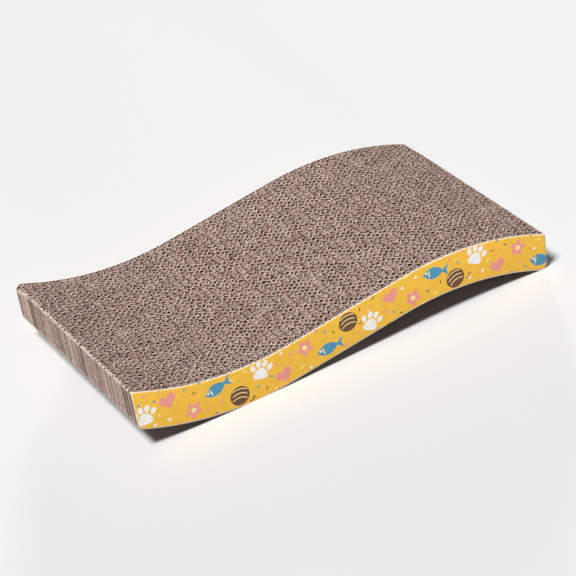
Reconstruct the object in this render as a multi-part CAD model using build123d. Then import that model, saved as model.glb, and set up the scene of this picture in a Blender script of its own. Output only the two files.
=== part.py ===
"""Cat scratcher: strips of double-wall corrugated board, glued side by side and cut to a wave.

X runs along the strips, Y across them and Z up. The origin is on the floor, under the middle.
A strip stands on edge with its flutes upright, so that the flute ends make the scratching face.
Each strip has a fine and a coarse flute between three liners, and a printed panel covers each
long side. The scratcher rests on the bottom of its valley and on its far end.
"""

import math
import os

from build123d import *

# Wave, drawn on the chord between its two ends
length = 430.0
thickness = 38.4  # measured upright, the same all along
wave_drop = 17.3  # valley below the chord, and hump above it
middle_slope = 11.3  # degrees, of the straight stretch between valley and hump
near_end_lean = 3.0  # how far the near end's top edge reaches out past its foot
top_radius = 2.0
foot_radius = 6.0

# Double-wall board of the strips
strip_count = 37
liner = 0.2
medium = 0.2
fine_pitch = 6.4
fine_height = 2.55
coarse_pitch = 7.75
coarse_height = 3.3
glue_line = 0.16  # width of a flute's crest on its liner
cut_flat = 16.0  # longest flat that a strip's cut walks the wave's arcs in
start_shares = (0.1, 0.3, 0.5)  # of half a pitch, where the flutes begin in the cuts that take turns

# Printed panels on the long sides
panel_thickness = 0.4

# Layers of a strip, from its front face
fine_base = liner
coarse_base = fine_base + fine_height + liner
strip_width = coarse_base + coarse_height + liner
strips_width = strip_count * strip_width

# Each arc starts at an end, turns at the wave's drop and runs on into the straight stretch
slope = math.radians(middle_slope)
half_tan = math.tan(slope / 2)
arc_run = length / 2 - wave_drop / math.tan(slope)
arc_sum = arc_run * half_tan + wave_drop
wave_radius = (arc_sum - math.sqrt(arc_sum**2 - half_tan**2 * (arc_run**2 + wave_drop**2))) / half_tan**2
valley_x = math.sqrt(wave_radius**2 - (wave_radius - wave_drop) ** 2)


def wave_line(start):
    """The wave from a start on the valley's arc to the far end of the chord."""
    bend_x = valley_x + wave_radius * math.sin(slope)
    bend_z = wave_radius * (1 - math.cos(slope)) - wave_drop
    bend = (bend_x, bend_z)
    far_bend = (length - bend_x, -bend_z)
    return [
        ThreePointArc(start, (valley_x, -wave_drop), bend),
        Line(bend, far_bend),
        ThreePointArc(far_bend, (length - valley_x, wave_drop), (length, 0)),
    ]


def wave_side():
    """The side view: an arc, a straight tangent and an arc below, and the same line raised above."""
    foot, far_foot = (0, 0), (length, 0)
    brow_z = wave_radius - wave_drop - math.sqrt(wave_radius**2 - (near_end_lean + valley_x) ** 2)
    brow, far_brow = (-near_end_lean, brow_z + thickness), (length, thickness)
    under = wave_line(foot)
    upper = [Pos(0, thickness) * edge for edge in wave_line((-near_end_lean, brow_z))]
    side = make_face(under + upper + [Line(foot, brow), Line(far_foot, far_brow)])
    for corners, radius in (((brow, far_brow), top_radius), ((foot, far_foot), foot_radius)):
        side = fillet([side.vertices().sort_by_distance(corner)[0] for corner in corners], radius)
    return Plane.XZ * side


def in_flats(side):
    """The side view with its long arcs walked in flats, so that the flute ends have straight edges."""
    edges = []
    for edge in side.edges():
        steps = math.ceil(edge.length / cut_flat)
        if edge.geom_type == GeomType.CIRCLE and steps > 2:
            edges += Polyline(*[edge @ (i / steps) for i in range(steps + 1)]).edges()
        else:
            edges.append(edge)
    return make_face(edges)


def wave_slab(side, slab_width):
    """A side view pulled out across the scratcher, from Y zero to slab_width."""
    return extrude(side, amount=slab_width, dir=(0, 1, 0))


def flute_cells(pitch, height, base_y, start_share):
    """Triangles left by a zigzag medium between two liners, every other one upside down."""
    half_pitch = pitch / 2
    half_base = half_pitch - glue_line / 2
    cells = []
    for i in range(-2, math.ceil(length / half_pitch) + 2):
        x = (i - start_share) * half_pitch
        corners = [(x - half_base, 0), (x + half_base, 0), (x, height - medium)]
        if i % 2:
            corners = [(cx, height - cy) for cx, cy in corners]
        cells.append(Wire.make_polygon([(cx, base_y + cy) for cx, cy in corners], close=True))
    return cells


def cut_strip(start_share):
    """A board longer than the scratcher, with its flutes upright, cut to the wave in flats."""
    spare = 2 * coarse_pitch
    corners = [(-spare, 0), (length + spare, 0), (length + spare, strip_width), (-spare, strip_width)]
    fine = flute_cells(fine_pitch, fine_height, fine_base, start_share)
    coarse = flute_cells(coarse_pitch, coarse_height, coarse_base, start_share)
    section = Face(Wire.make_polygon(corners, close=True), fine + coarse)
    below = 2 * wave_drop
    board = extrude(Pos(0, 0, -below) * section, amount=thickness + 2 * below, dir=(0, 0, 1))
    return board & wave_slab(in_flats(wave_side()), strip_width)


def standing():
    """Turn that puts the valley arc and the far end's rounded corner on the floor, and the move there."""
    corner_x = length - foot_radius
    hump_x = length - valley_x
    corner_rise = math.sqrt((wave_radius + foot_radius) ** 2 - (corner_x - hump_x) ** 2)
    across = corner_x - valley_x
    down = corner_rise - 2 * (wave_radius - wave_drop)
    apart = math.hypot(across, down)
    tilt = math.atan2(down, across) + math.asin((wave_radius - foot_radius) / apart)
    turn = Rot(0, math.degrees(tilt), 0)
    box = (turn * wave_slab(wave_side(), strips_width)).bounding_box()
    return Pos(-box.center().X, -strips_width / 2, -box.min.Z) * turn


stand = standing()
cuts = [cut_strip(share) for share in start_shares]
panel = wave_slab(wave_side(), panel_thickness)

os.makedirs("parts", exist_ok=True)
for i in range(strip_count):
    strip = stand * Pos(0, i * strip_width, 0) * cuts[i % len(cuts)]
    export_step(strip, f"parts/strip_{i + 1:02d}.step", write_pcurves=False)
export_step(stand * Pos(0, -panel_thickness, 0) * panel, "parts/front_panel.step")
export_step(stand * Pos(0, strips_width, 0) * panel, "parts/back_panel.step")
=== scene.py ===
# %% [markdown]
# # A cat scratcher made of corrugated board
#
# The scratcher is a stack of board strips that stand on edge, glued side by side and cut to a wave.
# What a cat claws is the cut edge of the board: thousands of open flute ends. The long sides are
# closed by a thin sheet with a print on it. The solids of the CAD frame give every size here, and
# this script dresses them: it builds each ply of paper, the print, the floor, the light and the camera.

import math

import bpy
import numpy as np
from mathutils import Matrix, Vector, geometry


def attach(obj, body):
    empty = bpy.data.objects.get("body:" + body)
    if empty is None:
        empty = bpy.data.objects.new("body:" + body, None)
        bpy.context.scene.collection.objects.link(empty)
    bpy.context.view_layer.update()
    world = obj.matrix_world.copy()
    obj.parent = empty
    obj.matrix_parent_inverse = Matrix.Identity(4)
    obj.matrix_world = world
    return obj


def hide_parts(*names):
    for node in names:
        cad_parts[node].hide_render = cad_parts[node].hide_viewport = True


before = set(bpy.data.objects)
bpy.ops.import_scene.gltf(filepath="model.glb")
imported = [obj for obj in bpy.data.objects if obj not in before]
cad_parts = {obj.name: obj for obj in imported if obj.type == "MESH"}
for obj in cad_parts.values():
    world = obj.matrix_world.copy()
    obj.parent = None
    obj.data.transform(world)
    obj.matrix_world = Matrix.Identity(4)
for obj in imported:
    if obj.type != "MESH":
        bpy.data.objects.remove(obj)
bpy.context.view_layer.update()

# %% [markdown]
# ## The wave
#
# From the side, the scratcher is an S: an arc that sinks into a valley, a straight rise, and an arc over
# a hump. Top and bottom are the same line, one above the other. Everything is worked out in millimetres
# on the chord between the two ends, where the flutes are upright. The far half is the near half turned
# half round, so one formula serves both. The arc starts at the end of the chord, sinks by the wave's drop and
# goes over into the rise where both have the same slope, and that leaves one radius for it.

# %% Sizes and the side view of the wave
MM = 0.001
length, thickness = 430.0, 38.4
wave_drop, slope = 17.3, math.radians(11.3)
near_end_lean, top_radius, worn_radius, foot_radius = 3.0, 2.0, 6.0, 6.0
strip_count, strip_width, panel_thickness = 37, 6.45, 0.4
strips_width = strip_count * strip_width

half_tan = math.tan(slope / 2)
arc_run = length / 2 - wave_drop / math.tan(slope)
arc_sum = arc_run * half_tan + wave_drop
radius = (arc_sum - math.sqrt(arc_sum**2 - half_tan**2 * (arc_run**2 + wave_drop**2))) / half_tan**2
valley_x = math.sqrt(radius**2 - (radius - wave_drop) ** 2)
bend_x = valley_x + radius * math.sin(slope)


def rounded(near, line, side, corner):
    """The line near an end, with the corner rounded off. The rounding circle touches the end and the valley's
    circle, from inside below (side -1) and from outside above (side 1)."""
    reach = radius + side * corner
    lift = 0.0 if side < 0 else thickness
    centre_z = radius - wave_drop + lift - math.sqrt(reach**2 - (corner - valley_x) ** 2)
    touch_x = valley_x + (corner - valley_x) * radius / reach
    bow = np.sqrt(np.maximum(corner**2 - (near - corner) ** 2, 0))
    return np.where(near < touch_x, centre_z + side * bow, line)


def wave_edges(x, top=top_radius):
    """Heights of the underside and the top over the chord: the valley's circle as far as bend_x, then the
    straight rise to the middle, and past it the same turned half round. top is the radius of the top corners."""
    near = np.minimum(x, length - x)
    arc = radius - wave_drop - np.sqrt(radius**2 - np.minimum(np.abs(near - valley_x), radius) ** 2)
    line = np.where(near < bend_x, arc, (near - length / 2) * math.tan(slope))
    first_half = x <= length / 2
    foot = np.where(first_half, rounded(near, line, -1, foot_radius),
                    thickness - rounded(near, line + thickness, 1, foot_radius))
    brow = np.where(first_half, rounded(near, line + thickness, 1, top),
                    thickness - rounded(near, line, -1, top))
    return foot, brow


print("valley radius", round(radius, 1), "mm, bottom of the valley at", round(valley_x, 1), "mm")

# %% [markdown]
# ## How it stands
#
# The real thing lies on the bottom of its valley and on its far foot. Both are circles, so the floor is the
# line that touches both, and its slope is the tilt. The near end hangs in the air and leans out by a few
# millimetres. Last, the middle of the length is put over the origin, as in the CAD frame.

# %% Tilt, lean and place
corner_x = length - foot_radius
corner_rise = math.sqrt((radius + foot_radius) ** 2 - (corner_x - length + valley_x) ** 2)
across, down = corner_x - valley_x, corner_rise - 2 * (radius - wave_drop)
tilt = math.atan2(down, across) + math.asin((radius - foot_radius) / math.hypot(across, down))
turn = np.array([[math.cos(tilt), 0, math.sin(tilt)], [0, 1, 0], [-math.sin(tilt), 0, math.cos(tilt)]])
floor_z = (turn @ [valley_x, 0, radius - wave_drop])[2] - radius
lean_run, end_slope = 60.0, valley_x / (radius - wave_drop)


def leaned(x, z):
    """The near end's lean: its upper points are drawn out along the wave, less and less over lean_run."""
    low = wave_edges(x)[0]
    out = near_end_lean * np.clip(1 - x / lean_run, 0, 1) ** 2 * np.clip((z - low) / thickness, 0, 1)
    return x - out, z + out * end_slope


end_zone, end_steps = 8.0, 81
side_x = np.concatenate([np.linspace(0, end_zone, end_steps), np.linspace(length - end_zone, length, end_steps)])
side_turned = [np.stack(leaned(side_x, edge), -1) @ turn[[0, 0], [0, 2]] for edge in wave_edges(side_x)]
middle_x = (np.min(side_turned) + np.max(side_turned)) / 2


def place(x, y, z):
    """Points in the chord's frame, in millimetres, as they stand on the floor, in metres."""
    points = np.stack(np.broadcast_arrays(x, y, z), axis=-1) @ turn.T
    return (points - [middle_x, 0, floor_z]) * MM


def stand(x, y, z):
    """Points of the scratcher over the chord, leaned at the near end and put on the floor."""
    x, z = leaned(x, z)
    return place(x, y, z)


print("tilt", round(math.degrees(tilt), 2), "degrees, lean", near_end_lean, "mm")

# %% [markdown]
# ## From grids of points to a mesh
#
# A ply of paper is a sheet: two grids of points, front and back, joined by a rim all round. Whole arrays
# make the points and the faces, and `foreach_set` hands them to Blender in one go, which is far quicker
# than a loop. Each sheet also gets a flat patch in a UV map, so that an export can paint it.


# %% A sheet from two grids
def sheet(front, back):
    """Closed skin of a sheet from two grids of points, rows by columns: both faces, and a rim around them."""
    rows, places = front.shape[:2]
    count = rows * places
    index = np.arange(count).reshape(rows, places)
    face = np.stack([index[:-1, :-1], index[:-1, 1:], index[1:, 1:], index[1:, :-1]], -1).reshape(-1, 4)
    ring = np.concatenate([index[0], index[1:, -1], index[-1, -2::-1], index[-2:0:-1, 0]])
    after = np.roll(ring, -1)
    rim = np.stack([after, ring, ring + count, after + count], -1)
    quads = np.concatenate([face, face[:, ::-1] + count, rim])
    points = np.concatenate([front.reshape(-1, 3), back.reshape(-1, 3)])
    return points, quads


print("faces of a sheet of 5 by 100 points:", len(sheet(np.zeros((5, 100, 3)), np.zeros((5, 100, 3)))[1]))

# %% The flat patches of a sheet
patch_left, patch_right = 0.002, 0.998
front_low, front_high, back_step, rim_low, rim_high = 0.02, 0.46, 0.48, 0.975, 0.995


def sheet_map(rows, places, slot, slots):
    """Flat patch for each corner of a sheet's faces: the front, the back and the rim in bands, one above the
    other, in the band number slot of slots."""
    u, v = np.meshgrid(np.linspace(patch_left, patch_right, places), np.linspace(front_low, front_high, rows))
    band = np.stack([u, v], -1)
    patch = np.stack([band[:-1, :-1], band[:-1, 1:], band[1:, 1:], band[1:, :-1]], 2).reshape(-1, 4, 2)
    ring = 2 * (rows + places) - 4
    along = np.linspace(patch_left, patch_right, ring + 1)
    low, high = np.full(ring, rim_low), np.full(ring, rim_high)
    rim = np.stack([np.stack([along[1:], low], -1), np.stack([along[:-1], low], -1),
                    np.stack([along[:-1], high], -1), np.stack([along[1:], high], -1)], 1)
    patches = np.concatenate([patch, patch[:, ::-1] + [0, back_step], rim])
    return (patches + [0, slot]) / [1, slots]


print("faces with a patch in that sheet:", len(sheet_map(5, 100, 0, 1)))


# %% An object from arrays
def mesh_object(name, points, faces, values, uv=None):
    """An object from points (n, 3), faces (m, corners) and named values at the points."""
    mesh = bpy.data.meshes.new(name)
    mesh.vertices.add(len(points))
    mesh.vertices.foreach_set("co", points.astype(np.float32).ravel())
    mesh.loops.add(faces.size)
    mesh.loops.foreach_set("vertex_index", faces.astype(np.int32).ravel())
    mesh.polygons.add(len(faces))
    mesh.polygons.foreach_set("loop_start", np.arange(0, faces.size, faces.shape[1], dtype=np.int32))
    mesh.update(calc_edges=True)
    for key, numbers in values.items():
        mesh.attributes.new(key, "FLOAT", "POINT").data.foreach_set("value", numbers.astype(np.float32))
    if uv is not None:
        mesh.uv_layers.new(name="OFBake").data.foreach_set("uv", uv.astype(np.float32).ravel())
    mesh.validate()
    piece = bpy.data.objects.new(name, mesh)
    bpy.context.scene.collection.objects.link(piece)
    return piece


# %% [markdown]
# ## Paper that has been cut, glued and handled
#
# No flute of a real strip is perfect. The board bends a little in the stack, the cutting die crushes the
# flutes near the edges, and the paper frays where it is cut. A smooth random field does all of this: a sum
# of sine waves with seeded directions. Where its hills are broader than a strip, neighbours lean together.


# %% A smooth random field
def wander(x, y, span, seed, waves=7):
    """Smooth noise, mostly between -1 and 1, with hills about span millimetres apart: a sum of sines of random
    direction, length and phase, over the root of their number."""
    rng = np.random.default_rng(seed)
    angle, phase = rng.uniform(0, np.pi, waves), rng.uniform(0, 2 * np.pi, waves)
    rate = 2 * np.pi / (span * rng.uniform(0.7, 1.6, waves))
    total = 0.0
    for a, p, k in zip(angle, phase, rate):
        total = total + np.sin(k * (np.cos(a) * x + np.sin(a) * y) + p)
    return total / math.sqrt(waves)


def mixed(x, y, fields):
    """A sum of smooth fields, each given by its size, the spacing of its hills in millimetres and its seed."""
    return sum(size * wander(x, y, span, seed) for size, span, seed in fields)


print("a field every 10 mm:", np.round(wander(np.arange(0.0, 60.0, 10.0), 0.0, 26, 11), 2).tolist())

# %% [markdown]
# ## The plies of a strip
#
# Double-wall board has five plies: liner, fine flute, liner, coarse flute, liner. A flute is a wave that
# runs along the strip, `cos` with its crests pressed flat against the liners by `tanh`. The sheet's rows go
# from the bottom edge to the top edge, close together at the edges, where the paper bends and frays most.

# %% Sizes of the plies, their rows and their places
paper, liner = 0.26, 0.2
fine_pitch, fine_height, coarse_pitch, coarse_height = 6.4, 2.55, 7.75, 3.3
row_shares = np.array([1.0, 0.0, 0.0, 0.35, 1.0])
row_steps = np.array([0.0, 2.6, -2.6, -0.9, 0.0])
row_from_top = np.array([False, False, True, True, True])


def flute(x, pitch, height, start):
    """Side step of a flute: tanh(flatness cos) over the pitch, as far as the liners leave room."""
    flatness, room = 1.6, height / 2 - paper / 2
    return room * np.tanh(flatness * np.cos(2 * np.pi * (x / pitch + start))) / math.tanh(flatness)


def columns(spacing):
    """Places along the strip, an even spacing with more at the rounded ends."""
    ends, margin = np.array([0.0, 0.12, 0.45, 1.0, 1.9, 3.2]), 5.0
    middle = np.linspace(margin, length - margin, int((length - 2 * margin) / spacing) + 1)
    return np.concatenate([ends, middle, length - ends[::-1]])


print("a ply has", len(row_steps), "rows, a fine flute", len(columns(fine_pitch / 8)), "places")

# %% [markdown]
# ## What the cut does to an edge
#
# The die does more than cut. It crushes the flutes, pushes them over along and across the strip, and leaves
# the edge uneven. It also spreads the paper: the slanted flanks of a flute end up broad, and its front folds
# lean over their cells, so that from above the cells of one row stay open and look dark. Strips beside a panel
# are held by it and stay straight, and no ply may leave its own room.

# %% Crushed, pushed and frayed edges
crush_fields, crush_most = ((1.0, 26, 11), (0.6, 9, 13)), 1.6
along_fields, still_end = ((0.9, 17, 23), (0.7, 8, 29)), 6.0
pushed_over, across_field, own_size, own_span, own_seed = 0.45, (0.30, 19, 37), 0.12, 6, 41
fray_size, fray_squeeze, fray_span, fray_seed, fray_most = 0.22, 7, 3.1, 61, 0.15


def cut_edge(x, y, reach, spread, loose, seed):
    """What the cut does, row by row: the share of the swing that it leaves, its pushes along and across the
    strip, and its uneven height. Crush and push along grow with spread, and the push across with loose, which
    is 0 beside a panel and 1 far from it."""
    near_edge = row_shares[:, None]
    to_end = np.minimum(x, length - x)
    crush = 1 - near_edge * spread * np.clip(mixed(x, y, crush_fields), 0, crush_most)
    along = near_edge * spread * mixed(x, y, along_fields) * np.clip(to_end / still_end, 0, 1)
    own_field = (own_size, own_span, own_seed + seed)
    push = loose * near_edge * (pushed_over * reach + mixed(x, y, (across_field, own_field)))
    fray = near_edge * fray_size * wander(x, y * fray_squeeze, fray_span, fray_seed + seed)
    return crush, along, push, fray


trial_x = columns(10.0)
trial_fray = cut_edge(trial_x, 0.0, 0.0, 0.0, 1.0, 1)[3]
print("the cut edge of a trial ply is uneven by", round(float(np.ptp(trial_fray[-1])), 2), "mm")

# %% Half the thickness of a ply
tuft_size, tuft_squeeze, tuft_span, tuft_seed, tuft_least, tuft_most = 0.3, 3, 6, 83, 0.4, 1.7
flank_growth, rising_growth, rising_rate, steepest = 0.7, 0.4, 1.5, 4.0
mashed_swell, mashed_run = 4, 1.2


def half_thickness(x, y, swing, flank, spread, frayed, seed):
    """Half of a ply, measured across the strip: the paper inside, and at the edge a tuft, broadest where flank
    is 1, half-way between two crests. A slanted sheet is wider across, by the root of 1 + rise squared, and at
    the two ends of the strip the edge is mashed and swells."""
    rise = np.gradient(swing, x)
    rising = 0.5 * (1 + np.tanh(rising_rate * rise))
    uneven = 1 + tuft_size * wander(x, y * tuft_squeeze, tuft_span, tuft_seed + seed)
    tuft = np.clip(uneven, tuft_least, tuft_most) * (1 + flank * (flank_growth + rising_growth * rising))
    slant = np.sqrt(1 + np.minimum(rise**2, steepest))
    swell = 1 + mashed_swell * spread * np.clip(1 - np.minimum(x, length - x) / mashed_run, 0, 1)
    return 0.5 * (paper + (frayed * tuft - paper) * row_shares[:, None]) * slant * swell


trial_swing, trial_frayed = np.zeros_like(trial_x), 0.24
trial_half = half_thickness(trial_x, 0.0, trial_swing, 0.0, 0.0, trial_frayed, 1)
print("a straight liner, row by row, in mm:", np.round(2 * trial_half.mean(1), 2).tolist())

# %% [markdown]
# ## A ply
#
# A ply is now easy to put together. Its middle bends gently with its neighbours, its side step is crushed at the
# cut, and half its thickness goes to either side. Both faces stop where the ply's room ends.

# %% A ply
held_run, bend_fields, fold_share = 9.0, ((0.25, 90, 53),), 0.4
least_swing, tight_room, loose_room = 0.1, 0.15, 1.2


def ply(x, y_middle, swing, seed, spread, frayed, top):
    """A ply as two grids of points, its near and its far face. y_middle and swing give its middle and its side
    step over x, spread how far the cut moves it, frayed how broad its edge gets, and top the corners' radius."""
    y = np.full_like(x, y_middle)
    reach = max(np.abs(swing).max(), 1e-6)
    fluted = reach > least_swing
    loose = np.clip((strips_width / 2 - abs(y_middle)) / held_run, 0, 1)
    crush, along, push, fray = cut_edge(x, y, reach, spread, loose, seed)
    half = half_thickness(x, y, swing, fluted * (1 - (swing / reach) ** 2), spread, frayed, seed)
    low, high = wave_edges(x, top)
    z = np.clip(np.where(row_from_top[:, None], high, low) + row_steps[:, None] + fray, low, high + fray_most)
    middle = y_middle + loose * mixed(x, y, bend_fields) + push
    centre = middle + swing * crush
    folded = fluted * row_shares[:, None] * fold_share * frayed * np.clip(-swing / reach, 0, 1)
    room = reach + tight_room + loose_room * loose
    near = np.maximum(centre - half, middle - room)
    far = np.minimum(centre + half + folded, middle + room)
    return stand(x + along, near, z), stand(x + along, far, z)


trial_near, trial_far = ply(trial_x, 0.0, trial_swing, 1, 0.0, trial_frayed, top_radius)
print("a liner as two grids of points:", trial_near.shape, trial_far.shape)

# %% [markdown]
# ## One strip
#
# The strips are cut from the same board, so their fine flutes line up and drift together. The coarse flutes
# shift by about a fifth of a pitch from strip to strip, with some scatter. Each point also gets the values
# that the paper's material reads later: its depth below the cut, the tone of its ply, and the lint on it.

# %% What the paper's material reads
end_depth, end_depth_rate, end_lint, tone_lint, lint_run = 0.05, 0.10, 0.40, 0.25, 2.6


def paper_values(x, tone):
    """Depth, tone and lint for all the points of a ply, first its near and then its far face. The depth is the
    row's step from the edge, and little near the ends, which are cut too. The lint fades over lint_run."""
    to_end = np.minimum(x, length - x)
    depth = np.minimum(np.abs(row_steps)[:, None], end_depth + end_depth_rate * to_end)
    worn = np.maximum(end_lint + tone_lint * tone, (row_from_top * row_shares)[:, None])
    lint = worn * np.clip(1 - to_end / lint_run, 0, 1)
    return [np.tile(grid, (2, 1)).ravel() for grid in (depth, np.full(depth.shape, tone), lint)]


trial_values = [round(float(numbers[0]), 2) for numbers in paper_values(trial_x, 0.5)]
print("depth, tone and lint at the end of a trial ply:", trial_values)

# %% The flutes of a strip
fine_start, fine_scatter, coarse_shift, coarse_scatter = 0.2, 0.03, -0.2, 0.14
liner_spacing, steps_per_pitch = 2.0, 8


def strip_flutes(number, rng, front):
    """Places along a strip and side steps there, for its liners, its fine flute and its coarse flute. A smooth
    drift, in pitches, shifts each flute along the strip."""
    liner_x = columns(liner_spacing)
    fine_x, coarse_x = columns(fine_pitch / steps_per_pitch), columns(coarse_pitch / steps_per_pitch)
    fine_drift = mixed(fine_x, front, ((0.22, 70, 71), (0.04, 20, 271 + number)))
    coarse_drift = mixed(coarse_x, front, ((0.10, 120, 171 + number), (0.08, 24, 371 + number)))
    fine_phase = fine_start + fine_scatter * rng.normal()
    coarse_phase = coarse_scatter * rng.normal() + coarse_shift * number
    fine = flute(fine_x + fine_pitch * fine_drift, fine_pitch, fine_height, fine_phase)
    coarse = flute(coarse_x + coarse_pitch * coarse_drift, coarse_pitch, coarse_height, coarse_phase)
    return (liner_x, np.zeros_like(liner_x)), (fine_x, fine), (coarse_x, coarse)


# %% The five plies of a strip
glue, first_worn, worn_strips = 0.03, 32, 4


def strip_plies(number):
    """The five plies of a strip, as points, faces, flat patches and the values that the paper material reads."""
    rng = np.random.default_rng(1000 + number)
    front = number * strip_width - strips_width / 2
    straight, fine, coarse = strip_flutes(number, rng, front)
    coarse_front = front + 2 * liner + fine_height
    plies = [  # places and side steps, middle, spread, frayed width
        (*straight, front + liner / 2 + glue, 0.0, 0.24),
        (*fine, front + liner + fine_height / 2, 0.40, 0.95),
        (*straight, front + liner * 1.5 + fine_height, 0.25, 0.28),
        (*coarse, coarse_front + coarse_height / 2, 0.35, 0.68),
        (*straight, front + strip_width - liner / 2 - glue, 0.0, 0.24),
    ]
    top = top_radius + (worn_radius - top_radius) * np.clip((number - first_worn) / worn_strips, 0, 1)
    made, first = [], 0
    for slot, (x, swing, y, spread, frayed) in enumerate(plies):
        skin, quads = sheet(*ply(x, y, swing, 10 * number + slot, spread, frayed, top))
        patch = sheet_map(len(row_steps), len(x), slot, len(plies))
        made.append((skin, quads + first, patch, *paper_values(x, rng.uniform())))
        first += len(skin)
    return [np.concatenate(parts) for parts in zip(*made)]


print("points in a strip:", len(strip_plies(0)[0]))

# %% [markdown]
# ## Kraft paper
#
# Corrugated board is made of recycled kraft paper: brown, matt and fibrous, a little pinkish and uneven from
# ply to ply. Where it is cut or torn, loose fibres scatter the light and the edge looks paler. The material
# reads the `depth` of each point below the cut: pale at the edge, brown just under it, and deep in the flute a
# painted shade of dark red-brown, where little light gets to. `tone` shifts each ply, and `lint` is the fluff
# on the worn end edges. Patches that were rubbed are paler too. Noise adds the flecks of the fibres and a fine
# bump: single fibres are too thin to show, so the flecks are as coarse as clumps of them.


# %% Colours and a helper for nodes
def srgb(code):
    """An sRGB hex colour as linear RGBA: a dark channel over 12.92, any other plus 0.055, over 1.055 and to the
    power 2.4."""
    value = np.array([int(code[i : i + 2], 16) for i in (1, 3, 5)]) / 255
    linear = np.where(value <= 0.04045, value / 12.92, ((value + 0.055) / 1.055) ** 2.4)
    return (*linear.tolist(), 1.0)


def node(tree, kind, settings=(), **inputs):
    """Adds a node with settings, and sets or links its inputs. An input is named by its socket, or in2 for
    number 2: in a colour mix in0 is the share and in6 and in7 are the colours, and in a map in1 to in4 are the
    two ranges."""
    made = tree.nodes.new(kind)
    for key, value in dict(settings).items():
        setattr(made, key, value)
    for key, value in inputs.items():
        number = key[2:] if key.startswith("in") and key[2:].isdigit() else None
        socket = made.inputs[int(number)] if number else made.inputs[key.replace("_", " ")]
        if isinstance(value, bpy.types.NodeSocket):
            tree.links.new(value, socket)
        else:
            socket.default_value = value
    return made


def new_material(name):
    """An empty node material with its output, ready for a shader."""
    material = bpy.data.materials.new(name)
    material.use_nodes = True
    material.node_tree.nodes.clear()
    return material, material.node_tree, material.node_tree.nodes.new("ShaderNodeOutputMaterial")


print("a brown in linear light:", np.round(srgb("#b07c68"), 3).tolist())

# %% Kraft paper material
fibre_size, cell_size, blotch_size, rub_size, fibre_height = 1.5 * MM, 5 * MM, 12 * MM, 30 * MM, 0.15 * MM
mix, multiply = {"data_type": "RGBA"}, {"data_type": "RGBA", "blend_type": "MULTIPLY"}
smooth = {"interpolation_type": "SMOOTHSTEP"}


def kraft_paper():
    """Uncoated recycled kraft: matt, with flecks of fibre about 1.5 mm and blotches about 12 mm wide."""
    material, tree, output = new_material("kraft_paper_cut")
    spot = node(tree, "ShaderNodeTexCoord").outputs["Object"]
    depth, tone, lint = (node(tree, "ShaderNodeAttribute", {"attribute_name": key}).outputs["Fac"]
                         for key in ("depth", "tone", "lint"))
    fibre = node(tree, "ShaderNodeTexNoise", Vector=spot, Scale=1 / fibre_size, Detail=3.0, Roughness=0.6)
    blotch = node(tree, "ShaderNodeTexNoise", Vector=spot, Scale=1 / blotch_size, Detail=2.0)
    cells = node(tree, "ShaderNodeTexNoise", Vector=spot, Scale=1 / cell_size, Detail=1.0)
    rubbed = node(tree, "ShaderNodeTexNoise", Vector=spot, Scale=1 / rub_size, Detail=4.0, Roughness=0.65)

    # Inside a flute: brown walls with a painted shade that gets darker with depth, more in some cells than in
    # others.
    wall = node(tree, "ShaderNodeMix", mix, in0=tone, in6=srgb("#87553f"), in7=srgb("#b07c68"))
    # Painted shade: its share grows with the depth below the cut.
    painted_depth_shade = node(tree, "ShaderNodeMapRange", smooth, Value=depth, in1=0.0, in2=0.3)
    painted_shade_by_cell = node(tree, "ShaderNodeMapRange", smooth, Value=cells.outputs["Fac"],
                     in1=0.36, in2=0.60, in3=0.45, in4=1.0)
    painted_hole_shade = node(tree, "ShaderNodeMath", {"operation": "MULTIPLY"}, in0=painted_depth_shade.outputs["Result"],
                in1=painted_shade_by_cell.outputs["Result"])
    # The dark red-brown #3d1004 is painted shade, mixed into the wall colour by depth and cell.
    wall_with_painted_shade = node(tree, "ShaderNodeMix", mix, in0=painted_hole_shade.outputs[0], in6=wall.outputs[2], in7=srgb("#3d1004"))

    # The cut edge: pale, a ragged fraction of a millimetre deep.
    edge = node(tree, "ShaderNodeMix", mix, in0=blotch.outputs["Fac"], in6=srgb("#a98c7f"), in7=srgb("#e9cfc4"))
    ragged = node(tree, "ShaderNodeMapRange", Value=fibre.outputs["Fac"], in1=0.3, in2=0.7, in3=0.02, in4=0.18)
    pale = node(tree, "ShaderNodeMapRange", smooth, Value=depth, in1=ragged.outputs["Result"], in2=0.0)
    cut = node(tree, "ShaderNodeMix", mix, in0=pale.outputs["Result"], in6=wall_with_painted_shade.outputs[2], in7=edge.outputs[2])

    # Wear: scuffs here and there, and lint at the ends.
    scuff = node(tree, "ShaderNodeMapRange", smooth, Value=rubbed.outputs["Fac"],
                 in1=0.58, in2=0.74, in3=0.0, in4=0.4)
    fluff = node(tree, "ShaderNodeMath", {"operation": "MAXIMUM"}, in0=scuff.outputs["Result"], in1=lint)
    fluffy = node(tree, "ShaderNodeMix", mix, in0=fluff.outputs[0], in6=cut.outputs[2], in7=srgb("#ecd9cd"))

    # Fibres: light and dark flecks, and a fine bump.
    speck = node(tree, "ShaderNodeMapRange", Value=fibre.outputs["Fac"], in1=0.25, in2=0.75, in3=0.58, in4=1.42)
    flecked = node(tree, "ShaderNodeMix", multiply, in0=1.0, in6=fluffy.outputs[2], in7=speck.outputs["Result"])
    bump = node(tree, "ShaderNodeBump", Height=fibre.outputs["Fac"], Strength=0.35, Distance=fibre_height)
    shader = node(tree, "ShaderNodeBsdfPrincipled", Base_Color=flecked.outputs[2], Roughness=0.92, IOR=1.45,
                  Specular_IOR_Level=0.1, Normal=bump.outputs["Normal"])
    tree.links.new(shader.outputs["BSDF"], output.inputs["Surface"])
    return material


kraft = kraft_paper()
print("material:", kraft.name, "with", len(kraft.node_tree.nodes), "nodes")

# %% [markdown]
# ## The strips
#
# Each strip is one object of five sheets. Smooth shading rounds the flutes, and edges sharper than 62 degrees,
# such as the rims of the paper, stay crisp.

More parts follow.
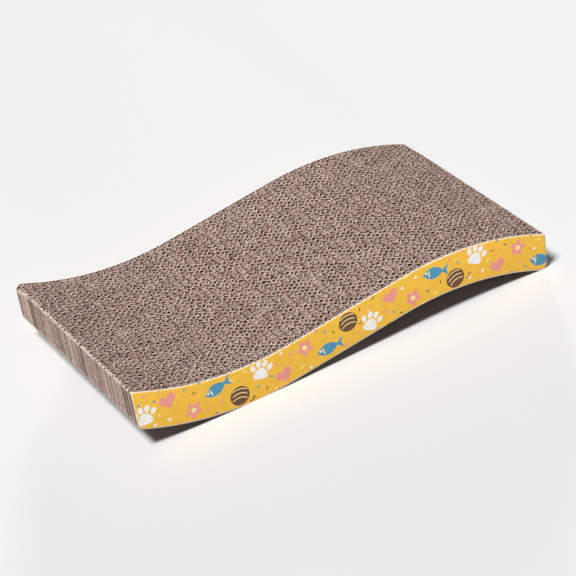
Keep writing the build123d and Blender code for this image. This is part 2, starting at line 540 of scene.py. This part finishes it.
# %% Build the strips
crisp_angle = math.radians(62)
for number in range(strip_count):
    name = f"strip_{number + 1:02d}"
    points, faces, patches, depth, tone, lint = strip_plies(number)
    piece = mesh_object(f"{name}_plies", points, faces, {"depth": depth, "tone": tone, "lint": lint}, patches)
    piece.data.shade_smooth()
    piece.data.set_sharp_from_angle(angle=crisp_angle)
    piece.data.materials.append(kraft)
    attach(piece, "root")
    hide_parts(name)
print("strips:", strip_count, "with", 2 * len(faces), "triangles each")

# %% [markdown]
# ## The printed panels
#
# Each long side is closed by a sheet of white-lined board, printed in flat spot colours before it was glued on.
# The print is made of simple outlines, each given by a formula: paws, fish, hearts, balls of yarn, blossoms
# and dots. A picture could be mapped on instead, but outlines stay crisp at any distance.


# %% Ovals and hearts
def ring_points(count):
    """Angles once round."""
    return np.linspace(0, 2 * np.pi, count, endpoint=False)


def oval(across, along, x=0.0, z=0.0, lean=0.0, count=20):
    """An ellipse with half sizes across and along, moved to x, z and leaning by an angle in degrees."""
    t, a = ring_points(count), math.radians(lean)
    u, v = across * np.cos(t), along * np.sin(t)
    return np.stack([x + u * math.cos(a) - v * math.sin(a), z + u * math.sin(a) + v * math.cos(a)], -1)


def heart(size):
    """The curve x = 16 sin^3 t, z = 13 cos t - 5 cos 2t - 2 cos 3t - cos 4t, scaled to a width."""
    t = ring_points(36)
    x = 16 * np.sin(t) ** 3
    z = 13 * np.cos(t) - 5 * np.cos(2 * t) - 2 * np.cos(3 * t) - np.cos(4 * t)
    return np.stack([x, z], -1)[::-1] * size / 32


print("a heart of 10 mm is as high as", round(float(np.ptp(heart(10.0)[:, 1])), 1), "mm")


# %% Paws, fish, yarn and blossoms
def paw():
    """A pad, which is an oval pulled in at its foot, and four toes on an arc above it."""
    t = ring_points(32)
    pad = np.stack([5.6 * np.cos(t), 4.4 * np.sin(t) - 1.1 * np.cos(2 * t) - 2.0], -1)
    toes = [oval(1.9, 2.7, x, z, lean, 16) for x, z, lean in
            ((-6.6, 3.2, 26), (-2.4, 6.2, 9), (2.4, 6.2, -9), (6.6, 3.2, -26))]
    return [("white", pad)] + [("white", toe) for toe in toes]


def fish():
    """A body of two bows, a forked tail, a gill stripe and an eye."""
    t = np.linspace(-1, 1, 15)
    bow = 4.6 * (1 - t**2)
    body = np.concatenate([np.stack([8.5 * t, -bow], -1), np.stack([8.5 * t, bow], -1)[-2:0:-1]])
    tail = np.array([[6.6, 0.0], [12.6, -4.6], [11.0, 0.0], [12.6, 4.6]])
    gill, eye_spot = oval(0.6, 2.9, -3.4, 0, 8, 14), oval(0.95, 0.95, -5.7, 0.9, 0, 12)
    return [("blue", tail), ("blue", body), ("pale", gill), ("white", eye_spot)]


def yarn():
    """A ball with three curved threads across it and a loose end."""
    t = np.linspace(-1, 1, 13)
    shapes = [("brown", oval(7.4, 7.4, 0, 0, 0, 36))]
    for k in (-3.4, 0.0, 3.4):
        line = np.stack([5.6 * t, k + 1.7 * (1 - t**2)], -1)
        shapes.append(("pale", np.concatenate([line, (line + [0, 0.75])[::-1]])))
    loose = np.stack([7.0 + 5.5 * (t + 1) / 2, -5.6 + 1.4 * np.sin(3.0 * t)], -1)
    return [("brown", np.concatenate([loose, (loose + [0, 0.9])[::-1]]))] + shapes


def blossom():
    """A rosette r = 1 + 0.28 cos 5t with a round heart."""
    t = ring_points(50)
    petals = 5.2 * (1 + 0.28 * np.cos(5 * t))
    rosette = np.stack([petals * np.cos(t), petals * np.sin(t)], -1)
    return [("pink", rosette), ("pale", oval(2.0, 2.0, 0, 0, 0, 18))]


def placed(shapes, x, z, lean, scale=1.0):
    """The shapes of a motif, scaled, turned by lean degrees and moved."""
    a = math.radians(lean)
    turned = np.array([[math.cos(a), math.sin(a)], [-math.sin(a), math.cos(a)]])
    return [(ink, scale * outline @ turned + [x, z]) for ink, outline in shapes]


print("outlines of a paw, a fish, a ball of yarn:", [len(motif()) for motif in (paw, fish, yarn)])

# %% [markdown]
# ## Layout of the print
#
# The motifs stand in two staggered lines that follow the wave, each turned a little differently by a sine.
# Dots and dashes fill the gaps. Their heights step by the golden ratio, which spreads points evenly without
# a visible pattern, and one that would come too near to a motif is left out.

# %% Layout of the print
motif_count, motif_start, motif_step, motif_scale, sway = 19, 8, 23.0, 1.3, 24
upper_line, lower_line = 0.68, 0.30
dot_count, dot_clearance, dot_turn, golden_ratio = 150, 13.0, 67.0, 0.618034
small_shapes = [
    ("white", oval(1.5, 1.5, count=14)), ("blue", oval(1.2, 1.2, count=14)), ("pale", oval(2.6, 0.8, count=16)),
    ("pink", oval(1.4, 1.4, count=14)), ("brown", oval(2.2, 0.6, count=16)),
]


def print_layout(flip):
    """All the shapes of a panel's print, as ink and outline. flip 1 gives the second panel another order."""
    motifs = [paw(), fish(), [("pink", heart(12.5))], yarn(), blossom()]
    main, shapes = [], []
    for k in range(motif_count):
        x = motif_start + motif_step * k
        low, high = wave_edges(np.array([x if 0 < x < length else 1.0]))
        z = low[0] + (high[0] - low[0]) * (upper_line if (k + flip) % 2 else lower_line)
        main.append((x, z))
        shapes += placed(motifs[(2 * k + flip) % 5], x, z, sway * math.sin(2.4 * k + flip), motif_scale)
    for j in range(dot_count):
        x = length * (j + 0.5) / dot_count
        low, high = wave_edges(np.array([x]))
        z = low[0] + (high[0] - low[0]) * ((golden_ratio * j + 0.31 * flip) % 1.0)
        if min(math.hypot(x - mx, z - mz) for mx, mz in main) > dot_clearance:
            shapes += placed([small_shapes[j % 5]], x, z, dot_turn * j)
    return shapes


print("shapes on the front panel:", len(print_layout(0)))

# %% [markdown]
# ## From outlines to a panel
#
# A Delaunay triangulation cuts the outlines into the flat sheet, so that every triangle has one ink. The panel's
# own outline goes in first, with a second line just inside it, where the wear ends. Each triangle that comes back
# says which outlines it lies in, and the last of them gives the ink. The triangles are kept where they lie in
# the panel, copied to the back of the sheet, and joined round the edge.

# %% The outline of a panel
outline_spacing = 3.0


def panel_outline(inset, top):
    """The side of the wave as a closed line, moved inwards by inset along its normals."""
    x = columns(outline_spacing)
    low, high = wave_edges(x, top)
    line = np.concatenate([np.stack([x, low], -1), np.stack([x, high], -1)[::-1]])
    along = np.roll(line, -1, axis=0) - np.roll(line, 1, axis=0)
    inward = np.stack([-along[:, 1], along[:, 0]], -1) / np.linalg.norm(along, axis=1, keepdims=True)
    return line + inset * inward


print("points round a panel:", len(panel_outline(0.0, top_radius)))

# %% Cut the outlines into triangles
join_distance = 1e-4


def cut_outlines(outlines):
    """Triangles in the first outline, with all outlines as edges: flat points, corners that run anticlockwise,
    and the number of the last outline that each triangle lies in."""
    firsts = np.cumsum([0] + [len(outline) for outline in outlines])
    loops = [list(range(a, b)) for a, b in zip(firsts[:-1], firsts[1:])]
    flat = [Vector(p) for p in np.concatenate(outlines).tolist()]
    found, _, triangles, _, _, owners = geometry.delaunay_2d_cdt(flat, [], loops, 1, join_distance)
    kept = [(t, max(o)) for t, o in zip(triangles, owners) if 0 in o]
    order, faces = np.unique(np.array([t for t, _ in kept]), return_inverse=True)
    spots, faces = np.array([tuple(p) for p in found])[order], faces.reshape(-1, 3)
    a, b, c = (spots[faces[:, k]] for k in range(3))
    area = (b - a)[:, 0] * (c - a)[:, 1] - (b - a)[:, 1] * (c - a)[:, 0]
    return spots, np.where((area > 0)[:, None], faces, faces[:, ::-1]), [owner for _, owner in kept]


def border_edges(faces):
    """The edges that only one triangle has."""
    edges = np.concatenate([faces[:, [0, 1]], faces[:, [1, 2]], faces[:, [2, 0]]])
    _, where, times = np.unique(np.sort(edges, 1), axis=0, return_index=True, return_counts=True)
    return edges[where[times == 1]]


print("triangles in a bare panel:", len(cut_outlines([panel_outline(0.0, top_radius)])[1]))

# %% Build a panel
ink_codes = {"ground": "#f3bd3c", "white": "#f3f0ec", "blue": "#4a93b8", "pink": "#ee958c", "brown": "#6a4632",
             "pale": "#fbe49b", "board": "#d9c8ba"}
wear_width = 2.0


def printed_panel(name, y_out, y_in, flip, top):
    """A flat sheet between y_out, its printed face, and y_in, its glued face."""
    shapes = print_layout(flip)
    outlines = [panel_outline(0.0, top), panel_outline(wear_width, top)] + [outline for _, outline in shapes]
    inks = ["ground", "ground"] + [ink for ink, _ in shapes]
    spots, faces, owners = cut_outlines(outlines)
    border, count = border_edges(faces), len(spots)
    rim = np.concatenate([np.stack([border[:, 1], border[:, 0], border[:, 0] + count], -1),
                          np.stack([border[:, 1], border[:, 0] + count, border[:, 1] + count], -1)])
    every = np.concatenate([faces, faces[:, ::-1] + count, rim])
    if y_out > y_in:
        every = every[:, ::-1]
    points = np.concatenate([stand(spots[:, 0], y, spots[:, 1]) for y in (y_out, y_in)])
    worn = np.zeros(2 * count)
    worn[border.ravel()] = 1.0
    worn[border.ravel() + count] = 1.0
    piece = mesh_object(name, points, every, {"worn": worn})
    palette, names = np.array([srgb(code) for code in ink_codes.values()]), list(ink_codes)
    face_ink = np.full(len(every), names.index("board"))
    face_ink[: len(faces)] = [names.index(inks[owner]) for owner in owners]
    colours = np.repeat(palette[face_ink], 3, axis=0).astype(np.float32)
    piece.data.color_attributes.new("ink", "FLOAT_COLOR", "CORNER").data.foreach_set("color", colours.ravel())
    print(name, "triangles:", len(every), "outlines:", len(outlines))
    return piece


# %% [markdown]
# ## Printed board
#
# White-lined board takes flat inks with a faint sheen. The ink is slightly mottled, as a quick print run leaves
# it, and along the cut edge it has chipped, so that the bare paper shows.

# %% Printed board material and the two panels
mottle_size, chip_size, grain_height = 7 * MM, 1.8 * MM, 0.05 * MM


def printed_board():
    """White-lined board with flat inks: blotches in the ink about 7 mm wide, a faint sheen, and bare paper in
    chips of about 1.8 mm where the edge is worn."""
    material, tree, output = new_material("printed_white_lined_board")
    spot = node(tree, "ShaderNodeTexCoord").outputs["Object"]
    ink = node(tree, "ShaderNodeVertexColor", {"layer_name": "ink"}).outputs["Color"]
    worn = node(tree, "ShaderNodeAttribute", {"attribute_name": "worn"}).outputs["Fac"]
    mottle = node(tree, "ShaderNodeTexNoise", Vector=spot, Scale=1 / mottle_size, Detail=4.0)
    chips = node(tree, "ShaderNodeTexNoise", Vector=spot, Scale=1 / chip_size, Detail=3.0)
    shade = node(tree, "ShaderNodeMapRange", Value=mottle.outputs["Fac"], in1=0.3, in2=0.7, in3=0.95, in4=1.04)
    toned = node(tree, "ShaderNodeMix", multiply, in0=1.0, in6=ink, in7=shade.outputs["Result"])
    wear = node(tree, "ShaderNodeMath", {"operation": "ADD"}, in0=worn, in1=chips.outputs["Fac"])
    bare = node(tree, "ShaderNodeMapRange", Value=wear.outputs[0], in1=1.0, in2=1.14, in3=0.0, in4=1.0)
    colour = node(tree, "ShaderNodeMix", mix, in0=bare.outputs["Result"], in6=toned.outputs[2],
                  in7=srgb("#efe3d2"))
    grain = node(tree, "ShaderNodeBump", Height=chips.outputs["Fac"], Strength=0.12, Distance=grain_height)
    shader = node(tree, "ShaderNodeBsdfPrincipled", Base_Color=colour.outputs[2], Roughness=0.55, IOR=1.45,
                  Normal=grain.outputs["Normal"])
    tree.links.new(shader.outputs["BSDF"], output.inputs["Surface"])
    return material


printed = printed_board()
half_width = strips_width / 2
for name, side, flip, top in (("front_panel", -1, 0, top_radius), ("back_panel", 1, 1, worn_radius)):
    panel = printed_panel(f"{name}_print", side * (half_width + panel_thickness), side * half_width, flip, top)
    panel.data.materials.append(printed)
    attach(panel, "root")
    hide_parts(name)

# %% [markdown]
# ## Floor and light
#
# A plain pale floor and three soft lamps, as in a small studio: a softbox above and to the left gives the shape,
# a low lamp in front fills the panel, and a low lamp behind keeps the back from going dark. Is Camera Ray tells
# what the camera sees from what lights the object: the floor throws back less light than it shows, and the sky
# looks pale but lights only faintly, so the shade under the hump stays deep.

# %% Floor
floor_half = 4
floor_corners = [(x * floor_half, y * floor_half, 0) for x, y in ((-1, -1), (1, -1), (1, 1), (-1, 1))]
floor_mesh = bpy.data.meshes.new("floor")
floor_mesh.from_pydata(floor_corners, [], [(0, 1, 2, 3)])
floor = bpy.data.objects.new("floor", floor_mesh)
bpy.context.scene.collection.objects.link(floor)
backdrop, tree, output = new_material("paper_backdrop")
looked_at = node(tree, "ShaderNodeLightPath").outputs["Is Camera Ray"]
tint = node(tree, "ShaderNodeMix", mix, in0=looked_at, in6=srgb("#bcbcbc"), in7=srgb("#f3f3f3"))
paint = node(tree, "ShaderNodeBsdfDiffuse", Color=tint.outputs[2])
tree.links.new(paint.outputs["BSDF"], output.inputs["Surface"])
floor_mesh.materials.append(backdrop)
print("floor:", 2 * floor_half, "m square")

# %% Sky and lamps
sky_light, sky_look = 0.025, 0.89
world = bpy.data.worlds.new("studio")
world.use_nodes = True
sky = world.node_tree
sky.nodes.clear()
seen = node(sky, "ShaderNodeLightPath").outputs["Is Camera Ray"]
level = node(sky, "ShaderNodeMapRange", Value=seen, in3=sky_light, in4=sky_look)
shine = node(sky, "ShaderNodeBackground", Color=(1, 1, 1, 1), Strength=level.outputs["Result"])
sky.links.new(shine.outputs["Background"], node(sky, "ShaderNodeOutputWorld").inputs["Surface"])
bpy.context.scene.world = world

lamps = (  # name, direction it comes from, strength, spread in degrees
    ("softbox_above", (-0.45, -0.22, 1.0), 3.15, 16),
    ("fill_in_front", (-0.11, -1.0, 0.0), 2.4, 5),
    ("rim_light_behind", (0.5, 1.0, 0.12), 1.8, 6),
)
for name, source, strength, spread in lamps:
    lamp = bpy.data.lights.new(name, "SUN")
    lamp.energy, lamp.angle = strength, math.radians(spread)
    lit = bpy.data.objects.new(name, lamp)
    lit.location = source
    lit.rotation_euler = Vector(source).to_track_quat("Z", "Y").to_euler()
    bpy.context.scene.collection.objects.link(lit)
print("lamps:", ", ".join(name for name, *_ in lamps))

# %% [markdown]
# ## Camera
#
# The camera stands where the photograph was taken from. Its place, its axes and its focal length, in pixels of a
# picture 576 wide, were fitted to the wave's edges in the frame of the chord, so they are turned with the wave.

# %% Camera
eye = np.array([-717.17, -1848.0, 1195.12])
right_axis = np.array([0.86109, -0.49909, -0.09713])
down_axis = np.array([-0.32366, -0.39071, -0.86173])
forward_axis = np.array([0.39214, 0.77346, -0.49798])
focal_pixels, picture_pixels, sensor = 2556.2, 576, 36.0
axes = turn @ np.stack([right_axis, -down_axis, -forward_axis], -1)
camera_data = bpy.data.cameras.new("camera")
camera_data.sensor_width, camera_data.lens = sensor, sensor * focal_pixels / picture_pixels
camera_data.clip_end = 20
camera = bpy.data.objects.new("camera", camera_data)
camera.matrix_world = Matrix.Translation(place(*eye).tolist()) @ Matrix(axes.tolist()).to_4x4()
bpy.context.scene.collection.objects.link(camera)
bpy.context.scene.camera = camera
bpy.context.scene.view_settings.view_transform = "Standard"
print("camera lens", round(camera_data.lens, 1), "mm at", np.round(place(*eye), 3).tolist())
